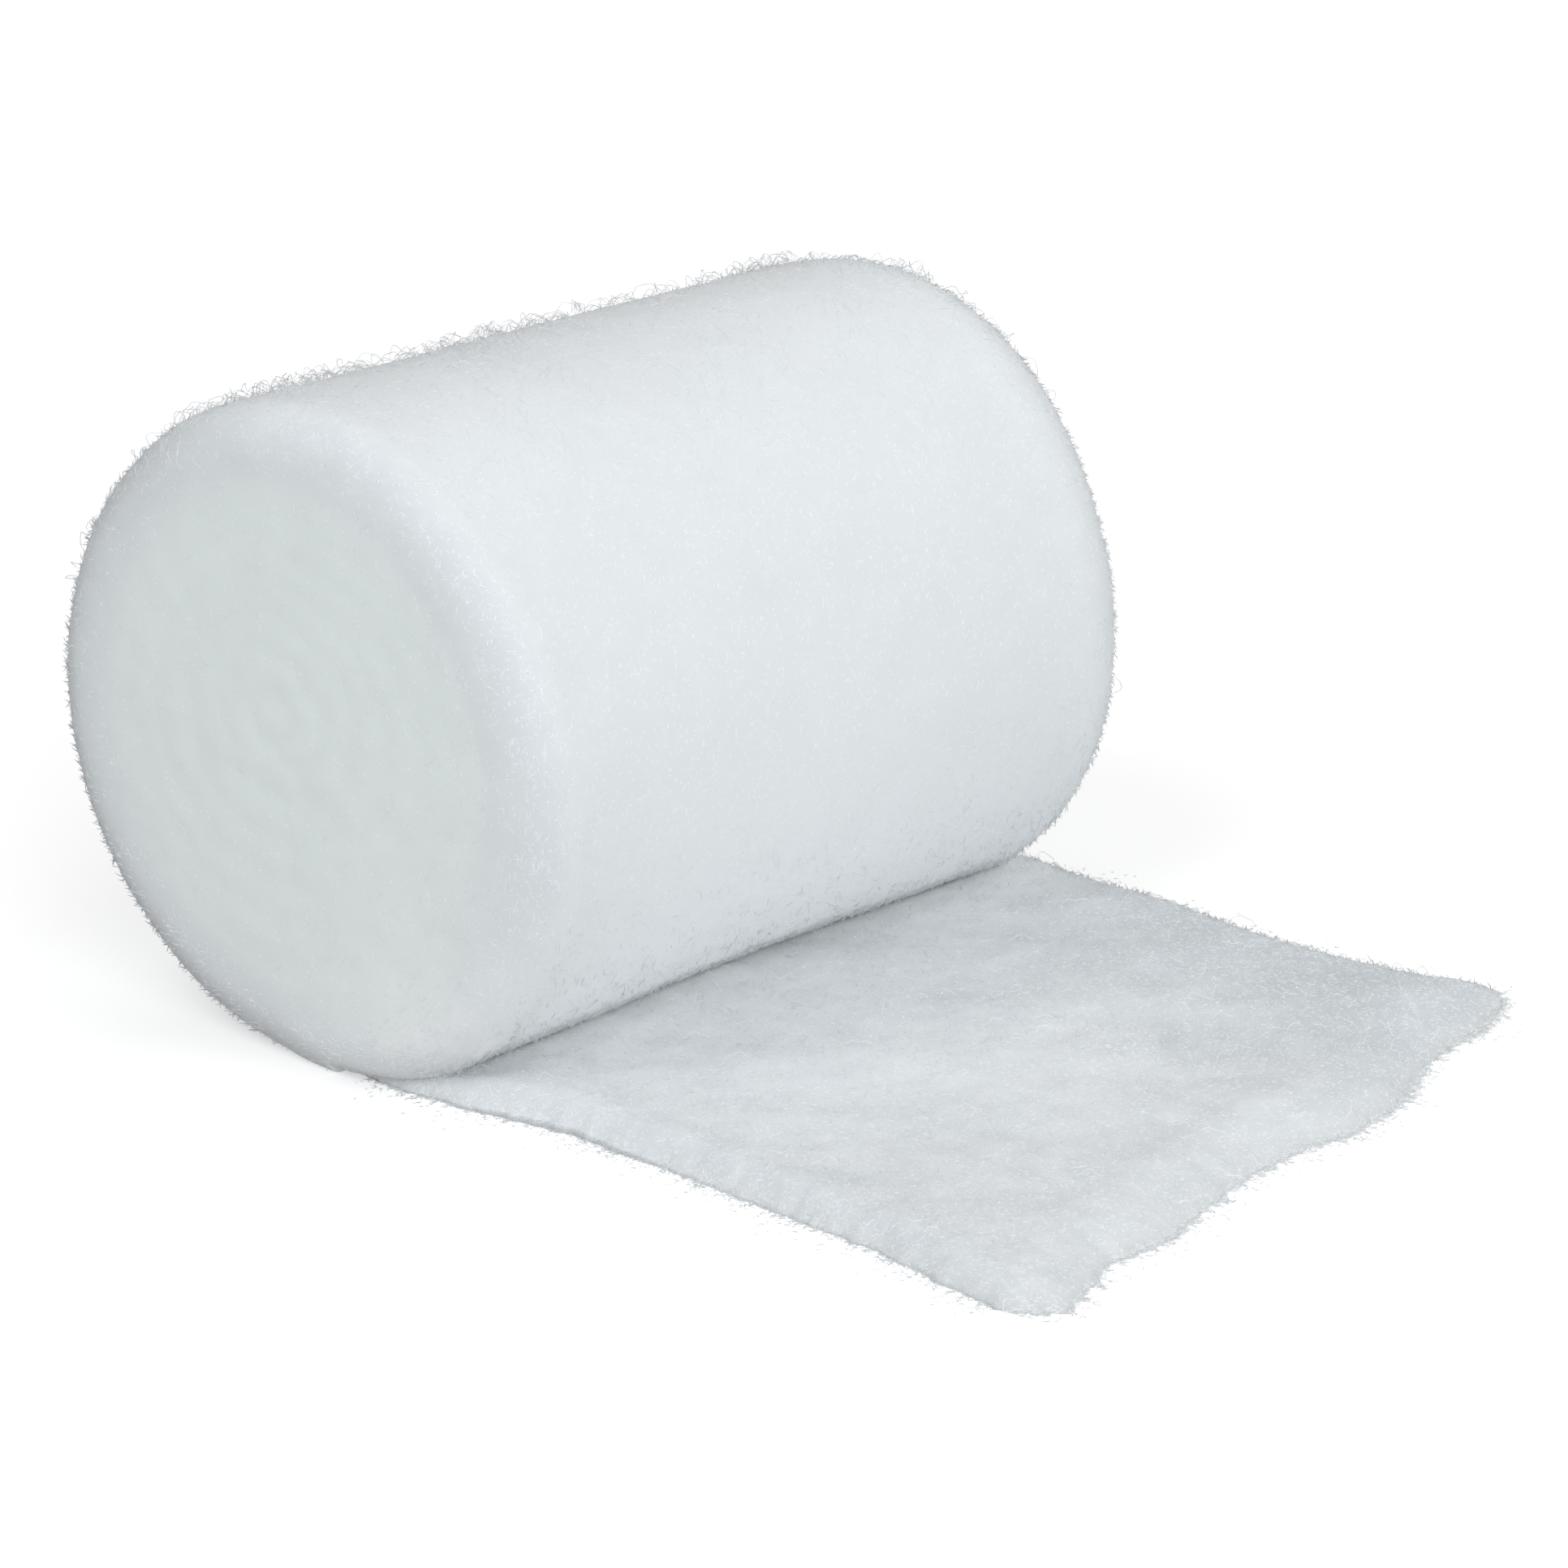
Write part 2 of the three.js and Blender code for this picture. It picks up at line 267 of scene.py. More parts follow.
# The pieces of fibres: how many there are, of which kind and of which material
FIBRE_PIECES = {
    "roll_fibres": {"count": 24000, "kind": "lying", "material": "painted_glint_fibre"},
    "roll_fuzz": {"count": 11000, "kind": "fuzz", "material": "wisp"},
    "roll_loops": {"count": 1100, "kind": "loop", "material": "wisp"},
    "hanging_fibres": {"count": 3000, "kind": "hanging", "material": "wisp"},
    "loose_fibres": {"count": 30000, "kind": "lying", "material": "painted_glint_fibre"},
    "loose_fuzz": {"count": 5000, "kind": "fuzz", "material": "wisp"},
    "loose_loops": {"count": 200, "kind": "loop", "material": "painted_glint_fibre"},
    # The torn end's fibres come as a lit and a shaded copy: painted highlight and painted shade.
    "torn_fibres": {"count": 3000, "kind": "torn", "material": "painted_glint_fibre"},
    "shaded_torn_fibres": {"count": 3500, "kind": "torn", "material": "shaded_fibre"},
    "edge_fibres": {"count": 5500, "kind": "side", "material": "shaded_fibre"},
}

# Random clusters of fibres, each made of layers of finer and finer patterns
ROLL_TUFTS = {"size": 0.0013, "seed": 62, "layers": 2, "contrast": 2}
LOOSE_TUFTS = {"size": 0.0013, "seed": 63, "layers": 2, "contrast": 2}
LOOP_CLUSTERS = {"size": 0.014, "seed": 61, "layers": 2, "contrast": 1.2}
EDGE_TUFTS = {"size": 0.0006, "seed": 51, "layers": 3, "contrast": 2.5}

# How densely fibres grow on the roll: none near the floor, fewer lying ones and loops on its
# ends, more fuzz on its rims and in tufts, and more loops on its top and in clusters
CLEAR_HEIGHTS = (0.001, 0.003)
LYING_LOSS_ON_ENDS = 0.6
FUZZ_EVERYWHERE = 0.15
FUZZ_ON_RIMS = 2
FUZZ_BETWEEN_TUFTS = 0.15
TOP_HEIGHTS = (0.055, 0.073)
LOOP_LOSS_ON_ENDS = 0.8
LOOPS_EVERYWHERE = 0.02
LOOPS_ON_RIMS = 0.02
LOOPS_BETWEEN_CLUSTERS = 0.1

# How densely fibres grow on the loose end: none deep under the roll, and more fuzz near the long
# edges. The fibres out of the long edges start at a share of its length.
LOOSE_FIBRES_X = (0.009, 0.013)
LOOSE_FUZZ_EVERYWHERE = 0.1
EDGE_FUZZ_REACH = 0.004
EDGE_FIBRES_START = 0.15

# How far out of an edge fibres start, as shares of their reach: everywhere, and in tufts besides
OUT_EVERYWHERE = 0.1
OUT_IN_TUFTS = 2.2

# Random patterns: how far a seed shifts them, how soft their finer layers are and how much finer
# each is than the one before
SEED_SHIFT = np.array([17.3, 5.1, 9.7])
NOISE_SOFTNESS = 0.8
NOISE_STEP = 2.0

# The seed of the fibres' places and shapes
SEED = 7

# The least length that a vector is divided by
TINY = 1e-12

# The camera looks down at the roll's near end and at its loose end. Its aim is off the origin, to
# the right and up across the view.
CAMERA_AZIMUTH = math.radians(43.469)
CAMERA_ELEVATION = math.radians(19)
CAMERA_DISTANCE = 0.695
CAMERA_RIGHT = 0.01945
CAMERA_UP = 0.020464
IMAGE_PIXELS = 1932
FOCAL_PIXELS = 7400
SENSOR_WIDTH = 36
CLIP_START = 0.01
CLIP_END = 100

# Each light is a soft disk of this size. Azimuths and elevations are in degrees.
LIGHT_SIZE = 1.6
LIGHT_DISTANCE = 2.4
LIGHTS = [
    {"name": "front", "azimuth": 60, "elevation": 15, "power": 38},
    {"name": "near", "azimuth": 0, "elevation": 45, "power": 16.5},
    {"name": "right", "azimuth": 120, "elevation": 45, "power": 10.8},
    {"name": "back", "azimuth": 205, "elevation": 60, "power": 5},
]
WHITE = (1, 1, 1, 1)
WORLD_BRIGHTNESS = 0.35

FLOOR_SIZE = 8
FLOOR_SHADER = {
    "Base Color": (0.95, 0.95, 0.95, 1), "Emission Color": WHITE, "Emission Strength": 0.3,
    "Roughness": 0.9, "Specular IOR Level": 0.1,
}

# The wadding's colours: on the strip's face, on its cut edges, painted shade on the roll's rims,
# painted light along the crease that stands in for light scattering between the fibres, on the
# loose end, and where that is thinner and darker, partly painted shade
FACE_COLOUR = (0.683, 0.715, 0.732, 1)
CUT_COLOUR = (0.72, 0.772, 0.772, 1)
RIM_SHADE_COLOUR = (0.56, 0.592, 0.617, 1)
CREASE_LIGHT_COLOUR = (0.81, 0.84, 0.852, 1)
LOOSE_COLOUR = (0.675, 0.704, 0.727, 1)
THIN_AND_SHADE_COLOUR = (0.54, 0.575, 0.6, 1)

# The wadding's mottling: the share by which its brightness wanders, the wide and small patches
# that it adds up, and the range of their sum. Scales are in patches a metre.
ROLL_MOTTLING = 0.012
LOOSE_MOTTLING = 0.04
WIDE_PATCHES = {"Scale": 60, "Detail": 2}
SMALL_PATCHES = {"Scale": 260, "Detail": 4}
PATCH_RANGE = {"From Min": 0.7, "From Max": 1.3}

# The wadding's finest relief and its shader
FINE_PATCHES = {"Scale": 1500, "Detail": 2}
FINE_BUMP = {"Strength": 0.4, "Distance": 0.0001}
WADDING_SHADER = {
    "Roughness": 0.9, "Specular IOR Level": 0.15, "Subsurface Weight": 1,
    "Subsurface Radius": (1, 1, 1), "Subsurface Scale": 0.003,
}
# The fibres' materials: the wisps have the wadding's own colour; the lighter fibres are painted
# highlights that stand in for glints on shiny fibres, and the darker shaded ones are painted shade along
# the loose end's edges.
FIBRE_SHADERS = {
    "painted_glint_fibre": {"Base Color": (0.83, 0.86, 0.88, 1), "Roughness": 0.35},
    "wisp": {"Base Color": (0.69, 0.725, 0.75, 1), "Roughness": 0.6},
    "shaded_fibre": {"Base Color": (0.6, 0.632, 0.652, 1), "Roughness": 0.6},
}

# The colour sockets of a Mix node, by number because their names repeat
MIX_FIRST = 6
MIX_SECOND = 7
MIX_RESULT = 2

# Where shade is painted on the roll's rims: behind, and by a share on the rounding of the near
# end in front. Each pair runs from none to all, right of the axis or above it in shares of the
# roll's radius.
BACK_RIM_RIGHT = (0.3, -0.7)
FRONT_RIM_SHARE = 0.55
FRONT_RIM_RIGHT = (-1 / 3, 1 / 3)
FRONT_RIM_UP = (-1, -1 / 11)

# The crease between the roll and the loose end, where light is painted into the wadding's colour
# against the crease's shade, and where it is fuzzier. It fades in from the leaving line, out past
# an X and above a height, and towards the long edges.
CREASE_X = 0.016
CREASE_HEIGHT = 0.003
CREASE_REACH = 0.012
CREASE_FULL_X = LEAVING_X + CREASE_X
CREASE_FROM_SIDE = (-0.0024, 0.0096)

# Fibres hang from the roll over the crease, from places at about this height.
HANGING_HEIGHT = 0.005
HANGING_REACH = 0.0014


def lerp(low, high, share):
    return low + (high - low) * share


def smooth(share):
    """From 0 to 1 with soft ends."""
    held = np.clip(share, 0, 1)
    return held * held * (3 - 2 * held)


def ramp(value, start, end):
    """From 0 at the start to 1 at the end, with soft ends."""
    return smooth((value - start) / (end - start))


def unit(vectors):
    return vectors / np.maximum(np.linalg.norm(vectors, axis=-1, keepdims=True), TINY)


def cloud(points, size, seed, layers=3):
    """Soft random values of about -1 to 1, in patches of this size and layers of finer ones."""
    places = (np.asarray(points, float) / size + SEED_SHIFT * seed).reshape(-1, 3).tolist()
    values = [noise.fractal(place, NOISE_SOFTNESS, NOISE_STEP, layers) for place in places]
    return np.array(values).reshape(np.shape(points)[:-1])


def clusters(points, pattern):
    """Random clusters, from 0 between them to 1 inside."""
    wander = cloud(points, pattern["size"], pattern["seed"], pattern["layers"])
    return smooth(0.5 + pattern["contrast"] * wander)


def add_relief(heights, points, reliefs):
    """The heights with random unevenness in patches added."""
    for relief in reliefs:
        heights = heights + relief["height"] * cloud(points, relief["patch"], relief["seed"])
    return heights


def direction(azimuth, elevation):
    """The unit vector from the object to what sees or lights it from these angles."""
    level = math.cos(elevation)
    return Vector((math.sin(azimuth) * level, -math.cos(azimuth) * level, math.sin(elevation)))


def new_object(name, data):
    made = bpy.data.objects.new(name, data)
    bpy.context.scene.collection.objects.link(made)
    return made


def make_camera():
    back = direction(CAMERA_AZIMUTH, CAMERA_ELEVATION)
    right = Vector((math.cos(CAMERA_AZIMUTH), math.sin(CAMERA_AZIMUTH), 0))
    up = back.cross(right)
    data = bpy.data.cameras.new("camera")
    data.sensor_width = SENSOR_WIDTH
    data.lens = SENSOR_WIDTH * FOCAL_PIXELS / IMAGE_PIXELS
    data.clip_start = CLIP_START
    data.clip_end = CLIP_END
    camera = new_object("camera", data)
    camera.rotation_euler = Matrix((right, up, back)).transposed().to_euler()
    camera.location = right * CAMERA_RIGHT + up * CAMERA_UP + back * CAMERA_DISTANCE
    bpy.context.scene.camera = camera


def set_inputs(node, values):
    for name, value in values.items():
        node.inputs[name].default_value = value


def shader_of(material):
    return material.node_tree.nodes["Principled BSDF"]


def make_material(name, shader_values):
    material = bpy.data.materials.new(name)
    material.use_nodes = True
    set_inputs(shader_of(material), shader_values)
    return material


def make_floor():
    """A pale floor. It sends no light on to the object's underside and limbs, as in the photograph."""
    half = FLOOR_SIZE / 2
    mesh = bpy.data.meshes.new("floor")
    corners = [(-half, -half, 0), (half, -half, 0), (half, half, 0), (-half, half, 0)]
    mesh.from_pydata(corners, [], [(0, 1, 2, 3)])
    mesh.materials.append(make_material("floor", FLOOR_SHADER))
    floor = new_object("floor", mesh)
    floor.visible_diffuse = False
    floor.visible_shadow = False


def make_world():
    world = bpy.data.worlds.new("studio")
    world.use_nodes = True
    background = world.node_tree.nodes["Background"]
    set_inputs(background, {"Color": WHITE, "Strength": WORLD_BRIGHTNESS})
    bpy.context.scene.world = world
    bpy.context.scene.view_settings.view_transform = "Standard"


def make_lights():
    for light in LIGHTS:
        back = direction(math.radians(light["azimuth"]), math.radians(light["elevation"]))
        data = bpy.data.lights.new(light["name"], "AREA")
        data.shape = "DISK"
        data.size = LIGHT_SIZE
        data.energy = light["power"]
        lamp = new_object(light["name"], data)
        lamp.location = back * LIGHT_DISTANCE
        lamp.rotation_euler = back.to_track_quat("Z", "Y").to_euler()


def add_node(tree, kind, inputs=None, **settings):
    """A node with its settings, and each input linked to a socket or set to a value."""
    node = tree.nodes.new(kind)
    for name, value in settings.items():
        setattr(node, name, value)
    for name, value in (inputs or {}).items():
        socket = node.inputs[name]
        if isinstance(value, bpy.types.NodeSocket):
            tree.links.new(value, socket)
        else:
            socket.default_value = value
    return node


def tinted(tree, colour, attribute_name, tint):
    """The colour, mixed towards a tint by a value that is stored on the mesh."""
    share = add_node(tree, "ShaderNodeAttribute", attribute_name=attribute_name).outputs["Fac"]
    mix = add_node(tree, "ShaderNodeMix", data_type="RGBA")
    tree.links.new(share, mix.inputs["Factor"])
    if isinstance(colour, bpy.types.NodeSocket):
        tree.links.new(colour, mix.inputs[MIX_FIRST])
    else:
        mix.inputs[MIX_FIRST].default_value = colour
    mix.inputs[MIX_SECOND].default_value = tint
    return mix.outputs[MIX_RESULT]


def make_wadding_material(name, colour, tints, mottling):
    """Soft wadding, whose brightness wanders by the mottling, in wide and in small patches."""
    material = make_material(name, WADDING_SHADER)
    shader = shader_of(material)
    tree = material.node_tree
    place = add_node(tree, "ShaderNodeTexCoord").outputs["Object"]
    wide = add_node(tree, "ShaderNodeTexNoise", {"Vector": place, **WIDE_PATCHES})
    small = add_node(tree, "ShaderNodeTexNoise", {"Vector": place, **SMALL_PATCHES})
    fine = add_node(tree, "ShaderNodeTexNoise", {"Vector": place, **FINE_PATCHES})
    for attribute_name, tint in tints.items():
        colour = tinted(tree, colour, attribute_name, tint)
    both = add_node(tree, "ShaderNodeMath", operation="ADD")
    tree.links.new(wide.outputs["Fac"], both.inputs[0])
    tree.links.new(small.outputs["Fac"], both.inputs[1])
    brightness = add_node(tree, "ShaderNodeMapRange", {
        "Value": both.outputs["Value"], **PATCH_RANGE, "To Min": 1 - mottling, "To Max": 1 + mottling})
    shade = add_node(tree, "ShaderNodeMix", data_type="RGBA", blend_type="MULTIPLY")
    shade.inputs["Factor"].default_value = 1
    tree.links.new(colour, shade.inputs[MIX_FIRST])
    tree.links.new(brightness.outputs["Result"], shade.inputs[MIX_SECOND])
    bump = add_node(tree, "ShaderNodeBump", {"Height": fine.outputs["Fac"], **FINE_BUMP})
    tree.links.new(shade.outputs[MIX_RESULT], shader.inputs["Base Color"])
    tree.links.new(bump.outputs["Normal"], shader.inputs["Normal"])
    return material


def make_mesh(name, points, quads, triangles, material, normals=None):
    """A smooth mesh of quads and triangles, from arrays. Given normals take the place of its own."""
    corners = np.concatenate([quads.ravel(), triangles.ravel()])
    totals = np.concatenate([np.full(len(quads), 4), np.full(len(triangles), 3)])
    starts = np.cumsum(totals) - totals
    mesh = bpy.data.meshes.new(name)
    mesh.vertices.add(len(points))
    mesh.vertices.foreach_set("co", points.astype(np.float32).ravel())
    mesh.loops.add(len(corners))
    mesh.loops.foreach_set("vertex_index", corners.astype(np.int32))
    mesh.polygons.add(len(totals))
    mesh.polygons.foreach_set("loop_start", starts.astype(np.int32))
    mesh.polygons.foreach_set("use_smooth", np.ones(len(totals), bool))
    mesh.update(calc_edges=True)
    if normals is not None:
        mesh.normals_split_custom_set_from_vertices(normals)
    mesh.materials.append(material)
    return new_object(name, mesh)


def store(made, name, values):
    """A value for each vertex, which a material reads by this name."""
    attribute = made.data.attributes.new(name, "FLOAT", "POINT")
    attribute.data.foreach_set("value", values.astype(np.float32).ravel())


def grid_quads(rows, columns):
    """The faces of a grid whose last column meets its first."""
    row, column = np.meshgrid(np.arange(rows - 1), np.arange(columns), indexing="ij")
    following = (column + 1) % columns
    corners = [row * columns + column, row * columns + following,
               (row + 1) * columns + following, (row + 1) * columns + column]
    return np.stack(corners, axis=-1).reshape(-1, 4)


def round_grid(places):
    """The direction round a grid whose last column meets its first."""
    return unit(np.roll(places, -1, axis=1) - np.roll(places, 1, axis=1))


def grid_normals(places):
    return unit(np.cross(round_grid(places), np.gradient(places, axis=0)))


def oval_radius(angle):
    from_long_way = angle - (math.pi / 2 - OVAL_LEAN)
    long = np.cos(from_long_way) / OVAL_LONG_RADIUS
    short = np.sin(from_long_way) / OVAL_SHORT_RADIUS
    return 1 / np.hypot(long, short)


def section_radius(angle, wound, y, spiral_share=1):
    """The outer surface's distance from the axis. wound goes from 0 at the leaving line,
    over the back and the top, to 1 after a whole turn."""
    spiral = WOUND_LAYER * (0.5 - wound) * spiral_share
    from_bottom = np.arctan2(-np.cos(angle), -np.sin(angle)) / SPREAD_ANGLE
    radius = oval_radius(angle) + spiral + SPREAD_DEPTH * np.exp(-(from_bottom ** 2))
    from_sag = np.arctan2(np.sin(angle - SAG_ANGLE), np.cos(angle - SAG_ANGLE)) / SAG_WIDTH
    radius = radius + SAG_DEPTH * np.exp(-(from_sag ** 2)) * smooth(-y / SAG_LENGTH)
    for wave in ROLL_WAVES:
        phase = wave["round"] * angle + wave["along"] * y + wave["phase"]
        radius = radius + wave["height"] * np.sin(phase)
    return radius


def stretched(distance, rounding, whole):
    """A distance from the rim, with the profile's rounding stretched to another."""
    past = (distance - PROFILE_ROUNDING) * (whole - rounding) / (whole - PROFILE_ROUNDING)
    return np.where(distance < PROFILE_ROUNDING, distance * rounding / PROFILE_ROUNDING, rounding + past)


def end_profile(side):
    """Rows of radius and y over one end of the even roll, from its first ring to the side."""
    rows = [(FACE_RADIUS * ring / FACE_RINGS, side * HALF_WIDTH) for ring in range(1, FACE_RINGS)]
    for step in range(RIM_STEPS + 1):
        turn = math.pi / 2 * step / RIM_STEPS
        depth = PROFILE_ROUNDING * (1 - math.cos(turn))
        rows.append((FACE_RADIUS + PROFILE_ROUNDING * math.sin(turn), side * (HALF_WIDTH - depth)))
    return rows


def roll_place(end, radius, y, wound):
    """The even roll's point moved to its place in the wound one."""
    angle = LEAVING_ANGLE - wound * (2 * math.pi - STEP_ANGLE)
    under = (1 - np.sin(angle)) / 2
    rounding = lerp(end["rounding_top"], end["rounding_under"], under ** 2)
    from_sharpest = SHARPER_NARROWNESS * (1 - np.cos(angle - SHARPER_ANGLE))
    rounding = rounding - end["sharper"] * smooth(1 - from_sharpest)
    share = 1 - stretched(ROLL_RADIUS - radius, rounding, ROLL_RADIUS) / ROLL_RADIUS
    rim_depth = stretched(HALF_WIDTH - np.abs(y), rounding, HALF_WIDTH)
    face_share = np.clip(radius / FACE_RADIUS, 0, 1)
    depth = rim_depth + end["dish"] * (1 - face_share ** 2)
    step_share = ramp(share, STEP_FADING, 1) * smooth((HALF_WIDTH - np.abs(y)) / STEP_END_FADING)
    reach = share * section_radius(angle, wound, y, step_share)
    x = reach * np.cos(angle)
    height = reach * np.sin(angle)
    slip = end["slip"] * (under * share) ** 3
    tilt = end["slope_x"] * x + end["slope_z"] * height
    shift = tilt + end["side"] * (end["reach"] - HALF_WIDTH + slip)
    places = np.empty(np.broadcast(radius, wound).shape + (3,))
    places[..., 0] = AXIS_X + x
    places[..., 1] = end["side"] * (HALF_WIDTH - depth) + shift * (1 - depth / HALF_WIDTH)
    places[..., 2] = AXIS_HEIGHT + height
    return places


def turns_out(radius):
    """How many turns of the strip lie between the axis and a radius."""
    growth = (OUTER_TURN - MIDDLE_TURN) / ROLL_RADIUS
    return np.log(1 + growth * radius / MIDDLE_TURN) / growth


def crease_share(places):
    """How near a place is to the crease in front of the roll, from 1 inside it."""
    past = np.maximum(places[..., 0] - CREASE_X, 0)
    above = np.maximum(places[..., 2] - CREASE_HEIGHT, 0)
    in_front = ramp(places[..., 0], LEAVING_X, CREASE_FULL_X)
    return in_front * np.exp(-np.hypot(past, above) / CREASE_REACH)


def winding_grooves(places, radius, wound):
    """The soft grooves between the turns on an end, 1 at their deepest. The innermost turns lie
    a little off the axis."""
    wander = TURN_WANDER * cloud(places, TURN_WANDER_PATCH, TURN_WANDER_SEED, layers=2)
    off_axis = 1 - (radius / ROLL_RADIUS) ** 2
    from_middle_x = places[..., 0] - AXIS_X - MIDDLE_SHIFT_X * off_axis
    from_middle_z = places[..., 2] - AXIS_HEIGHT - MIDDLE_SHIFT_Z * off_axis
    turn = turns_out(np.hypot(from_middle_x, from_middle_z)) + wound + wander
    from_groove = np.abs(turn - np.round(turn))
    return np.exp(-((from_groove / GROOVE_SHARE) ** 2))


def painted_rim_shade(places, radius, rim):
    """How much shade is painted on the rims: at the back, and in the upper front of the near end."""
    right = (places[..., 0] - AXIS_X) / ROLL_RADIUS
    up = (places[..., 2] - AXIS_HEIGHT) / ROLL_RADIUS
    round_rim = np.clip((radius - FACE_RADIUS) / PROFILE_ROUNDING, 0, 1)
    rounding = 2 * round_rim * np.sqrt(1 - round_rim ** 2) * (places[..., 1] < 0)
    in_front = FRONT_RIM_SHARE * rounding * ramp(right, *FRONT_RIM_RIGHT) * ramp(up, *FRONT_RIM_UP)
    return np.maximum(rim * ramp(right, *BACK_RIM_RIGHT), in_front)


def make_roll(material):
    """The roll's surface, closed, with the grooves of its turns on both ends."""
    near = end_profile(NEAR_END["side"])
    far = end_profile(FAR_END["side"])[::-1]
    side = [(ROLL_RADIUS, lerp(near[-1][1], far[0][1], step / SIDE_STEPS))
            for step in range(1, SIDE_STEPS)]
    middle = len(near) + len(side) // 2
    profile = np.array(near + side + far)
    rows = len(profile)
    radius = profile[:, :1]
    y = profile[:, 1:]
    wound = np.linspace(0, 1, ROUND_STEPS)[None, :]
    places = np.concatenate([
        roll_place(NEAR_END, radius[:middle], y[:middle], wound),
        roll_place(FAR_END, radius[middle:], y[middle:], wound),
    ])
    on_end = np.abs(y) > HALF_WIDTH - PROFILE_ROUNDING
    face = smooth((ROLL_RADIUS - radius) / PROFILE_ROUNDING) * on_end * np.ones_like(wound)
    cut = smooth((ROLL_RADIUS - radius - CUT_START) / CUT_FADING) * on_end * np.ones_like(wound)
    fading = np.clip(radius / FACE_RADIUS, 0, 1) ** GROOVE_FADING
    grooves = winding_grooves(places, radius, wound) * face
    relief = add_relief(np.zeros(places.shape[:2]), places, ROLL_RELIEF)
    relief = relief - lerp(MIDDLE_GROOVE, OUTER_GROOVE, fading) * grooves
    places = places + grid_normals(places) * relief[..., None]
    on_strip = wound > 0.5
    floor = np.where(on_strip, PRESSED_THICKNESS + SEAM_GAP, 0)
    places[..., 2] = np.maximum(places[..., 2], floor)

    poles = np.array([places[0].mean(axis=0), places[-1].mean(axis=0)])
    points = np.concatenate([places.reshape(-1, 3), poles])
    near_pole = len(points) - 2
    far_pole = len(points) - 1
    column = np.arange(ROUND_STEPS)
    following = (column + 1) % ROUND_STEPS
    last = (rows - 1) * ROUND_STEPS
    near_fan = np.stack([np.full(ROUND_STEPS, near_pole), following, column], axis=-1)
    far_fan = np.stack([last + column, last + following, np.full(ROUND_STEPS, far_pole)], axis=-1)
    quads = grid_quads(rows, ROUND_STEPS)
    made = make_mesh("wound_padding", points, quads, np.concatenate([near_fan, far_fan]), material)
    store(made, "cut_edges", np.append(cut.ravel(), [1, 1]))
    from_rim = ROLL_RADIUS - radius + HALF_WIDTH - np.abs(y)
    rim = np.exp(-((from_rim / RIM_ZONE) ** 2)) * np.ones_like(wound)
    # Painted shade: the rims are darker at the back and on the near end's upper front rounding.
    store(made, "painted_rim_shade", np.append(painted_rim_shade(places, radius, rim).ravel(), [0, 0]))
    # Painted light: the crease is lighter, against the shade that falls into it.
    store(made, "crease", crease_share(points))
    surface = {
        "points": places.reshape(-1, 3),
        "normals": grid_normals(places).reshape(-1, 3),
        "lays": round_grid(places).reshape(-1, 3),
        "quads": quads,
        "face": face.ravel(),
        "rim": rim.ravel(),
    }
    return made, surface


def ragged(distance, edge):
    """How far an edge stands out along its length: lobes, with smaller tufts on them."""
    line = np.stack([distance, np.zeros_like(distance), np.zeros_like(distance)], axis=-1)
    lobes = edge["lobe"] * cloud(line, LOBE_LENGTH, edge["seed"])
    return lobes + edge["tuft"] * cloud(line, TUFT_LENGTH, edge["seed"] + 1)


def loose_plan(along, over):
    """The loose end's places seen from above, and how far they are from its edges."""
    outline_x = np.interp(over, TORN_END_OVER, TORN_END_X)
    torn_x = outline_x + ragged(over * STRIP_WIDTH, RAGGED_TORN_END)
    x = lerp(LOOSE_START_X, outline_x, along)
    x = x + (torn_x - outline_x) * np.exp(-(outline_x - x) / RAGGED_REACH)
    near_y = np.interp(x, NEAR_EDGE_X, NEAR_EDGE_Y)
    far_y = np.interp(x, FAR_EDGE_X, FAR_EDGE_Y)
    y = lerp(near_y, far_y, over)
    from_near = y - near_y
    from_far = far_y - y
    y = y + ragged(x, RAGGED_NEAR_EDGE) * np.exp(-from_near / RAGGED_REACH)
    y = y + ragged(x, RAGGED_FAR_EDGE) * np.exp(-from_far / RAGGED_REACH)
    return x, y, np.minimum(from_near, from_far), torn_x - x


def underside_height(x, y):
    """The height of the roll's underside over places in front of the leaving line."""
    angle = np.full(np.shape(x), -math.pi / 2)
    for _ in range(UNDERSIDE_PASSES):
        radius = section_radius(angle, 1 - (angle - LEAVING_ANGLE) / (2 * math.pi), y)
        angle = -np.arccos(np.clip((x - AXIS_X) / radius, -1, 1))
    return AXIS_HEIGHT + radius * np.sin(angle)


def room_under_roll(x, y):
    """The room for the strip under the roll. Past the rims nothing presses on it."""
    rim_rise = np.zeros_like(x)
    for end, rim_y in ((NEAR_END, NEAR_RIM_Y), (FAR_END, FAR_RIM_Y)):
        past_rim = np.clip((end["side"] * y - rim_y) / end["rounding_under"], 0, 1)
        rim_rise = rim_rise + end["rounding_under"] * (1 - np.sqrt(1 - past_rim ** 2))
    under = np.where(x > LEAVING_X, underside_height(x, y) - LOOSE_CLEARANCE, 0)
    return np.maximum(PRESSED_THICKNESS, under) + rim_rise


def edge_share(distance, taper):
    """A soft thinning towards an edge, from EDGE_SHARE on the edge to 1 inside."""
    return EDGE_SHARE + (1 - EDGE_SHARE) * np.sin(math.pi / 2 * np.clip(distance / taper, 0, 1))


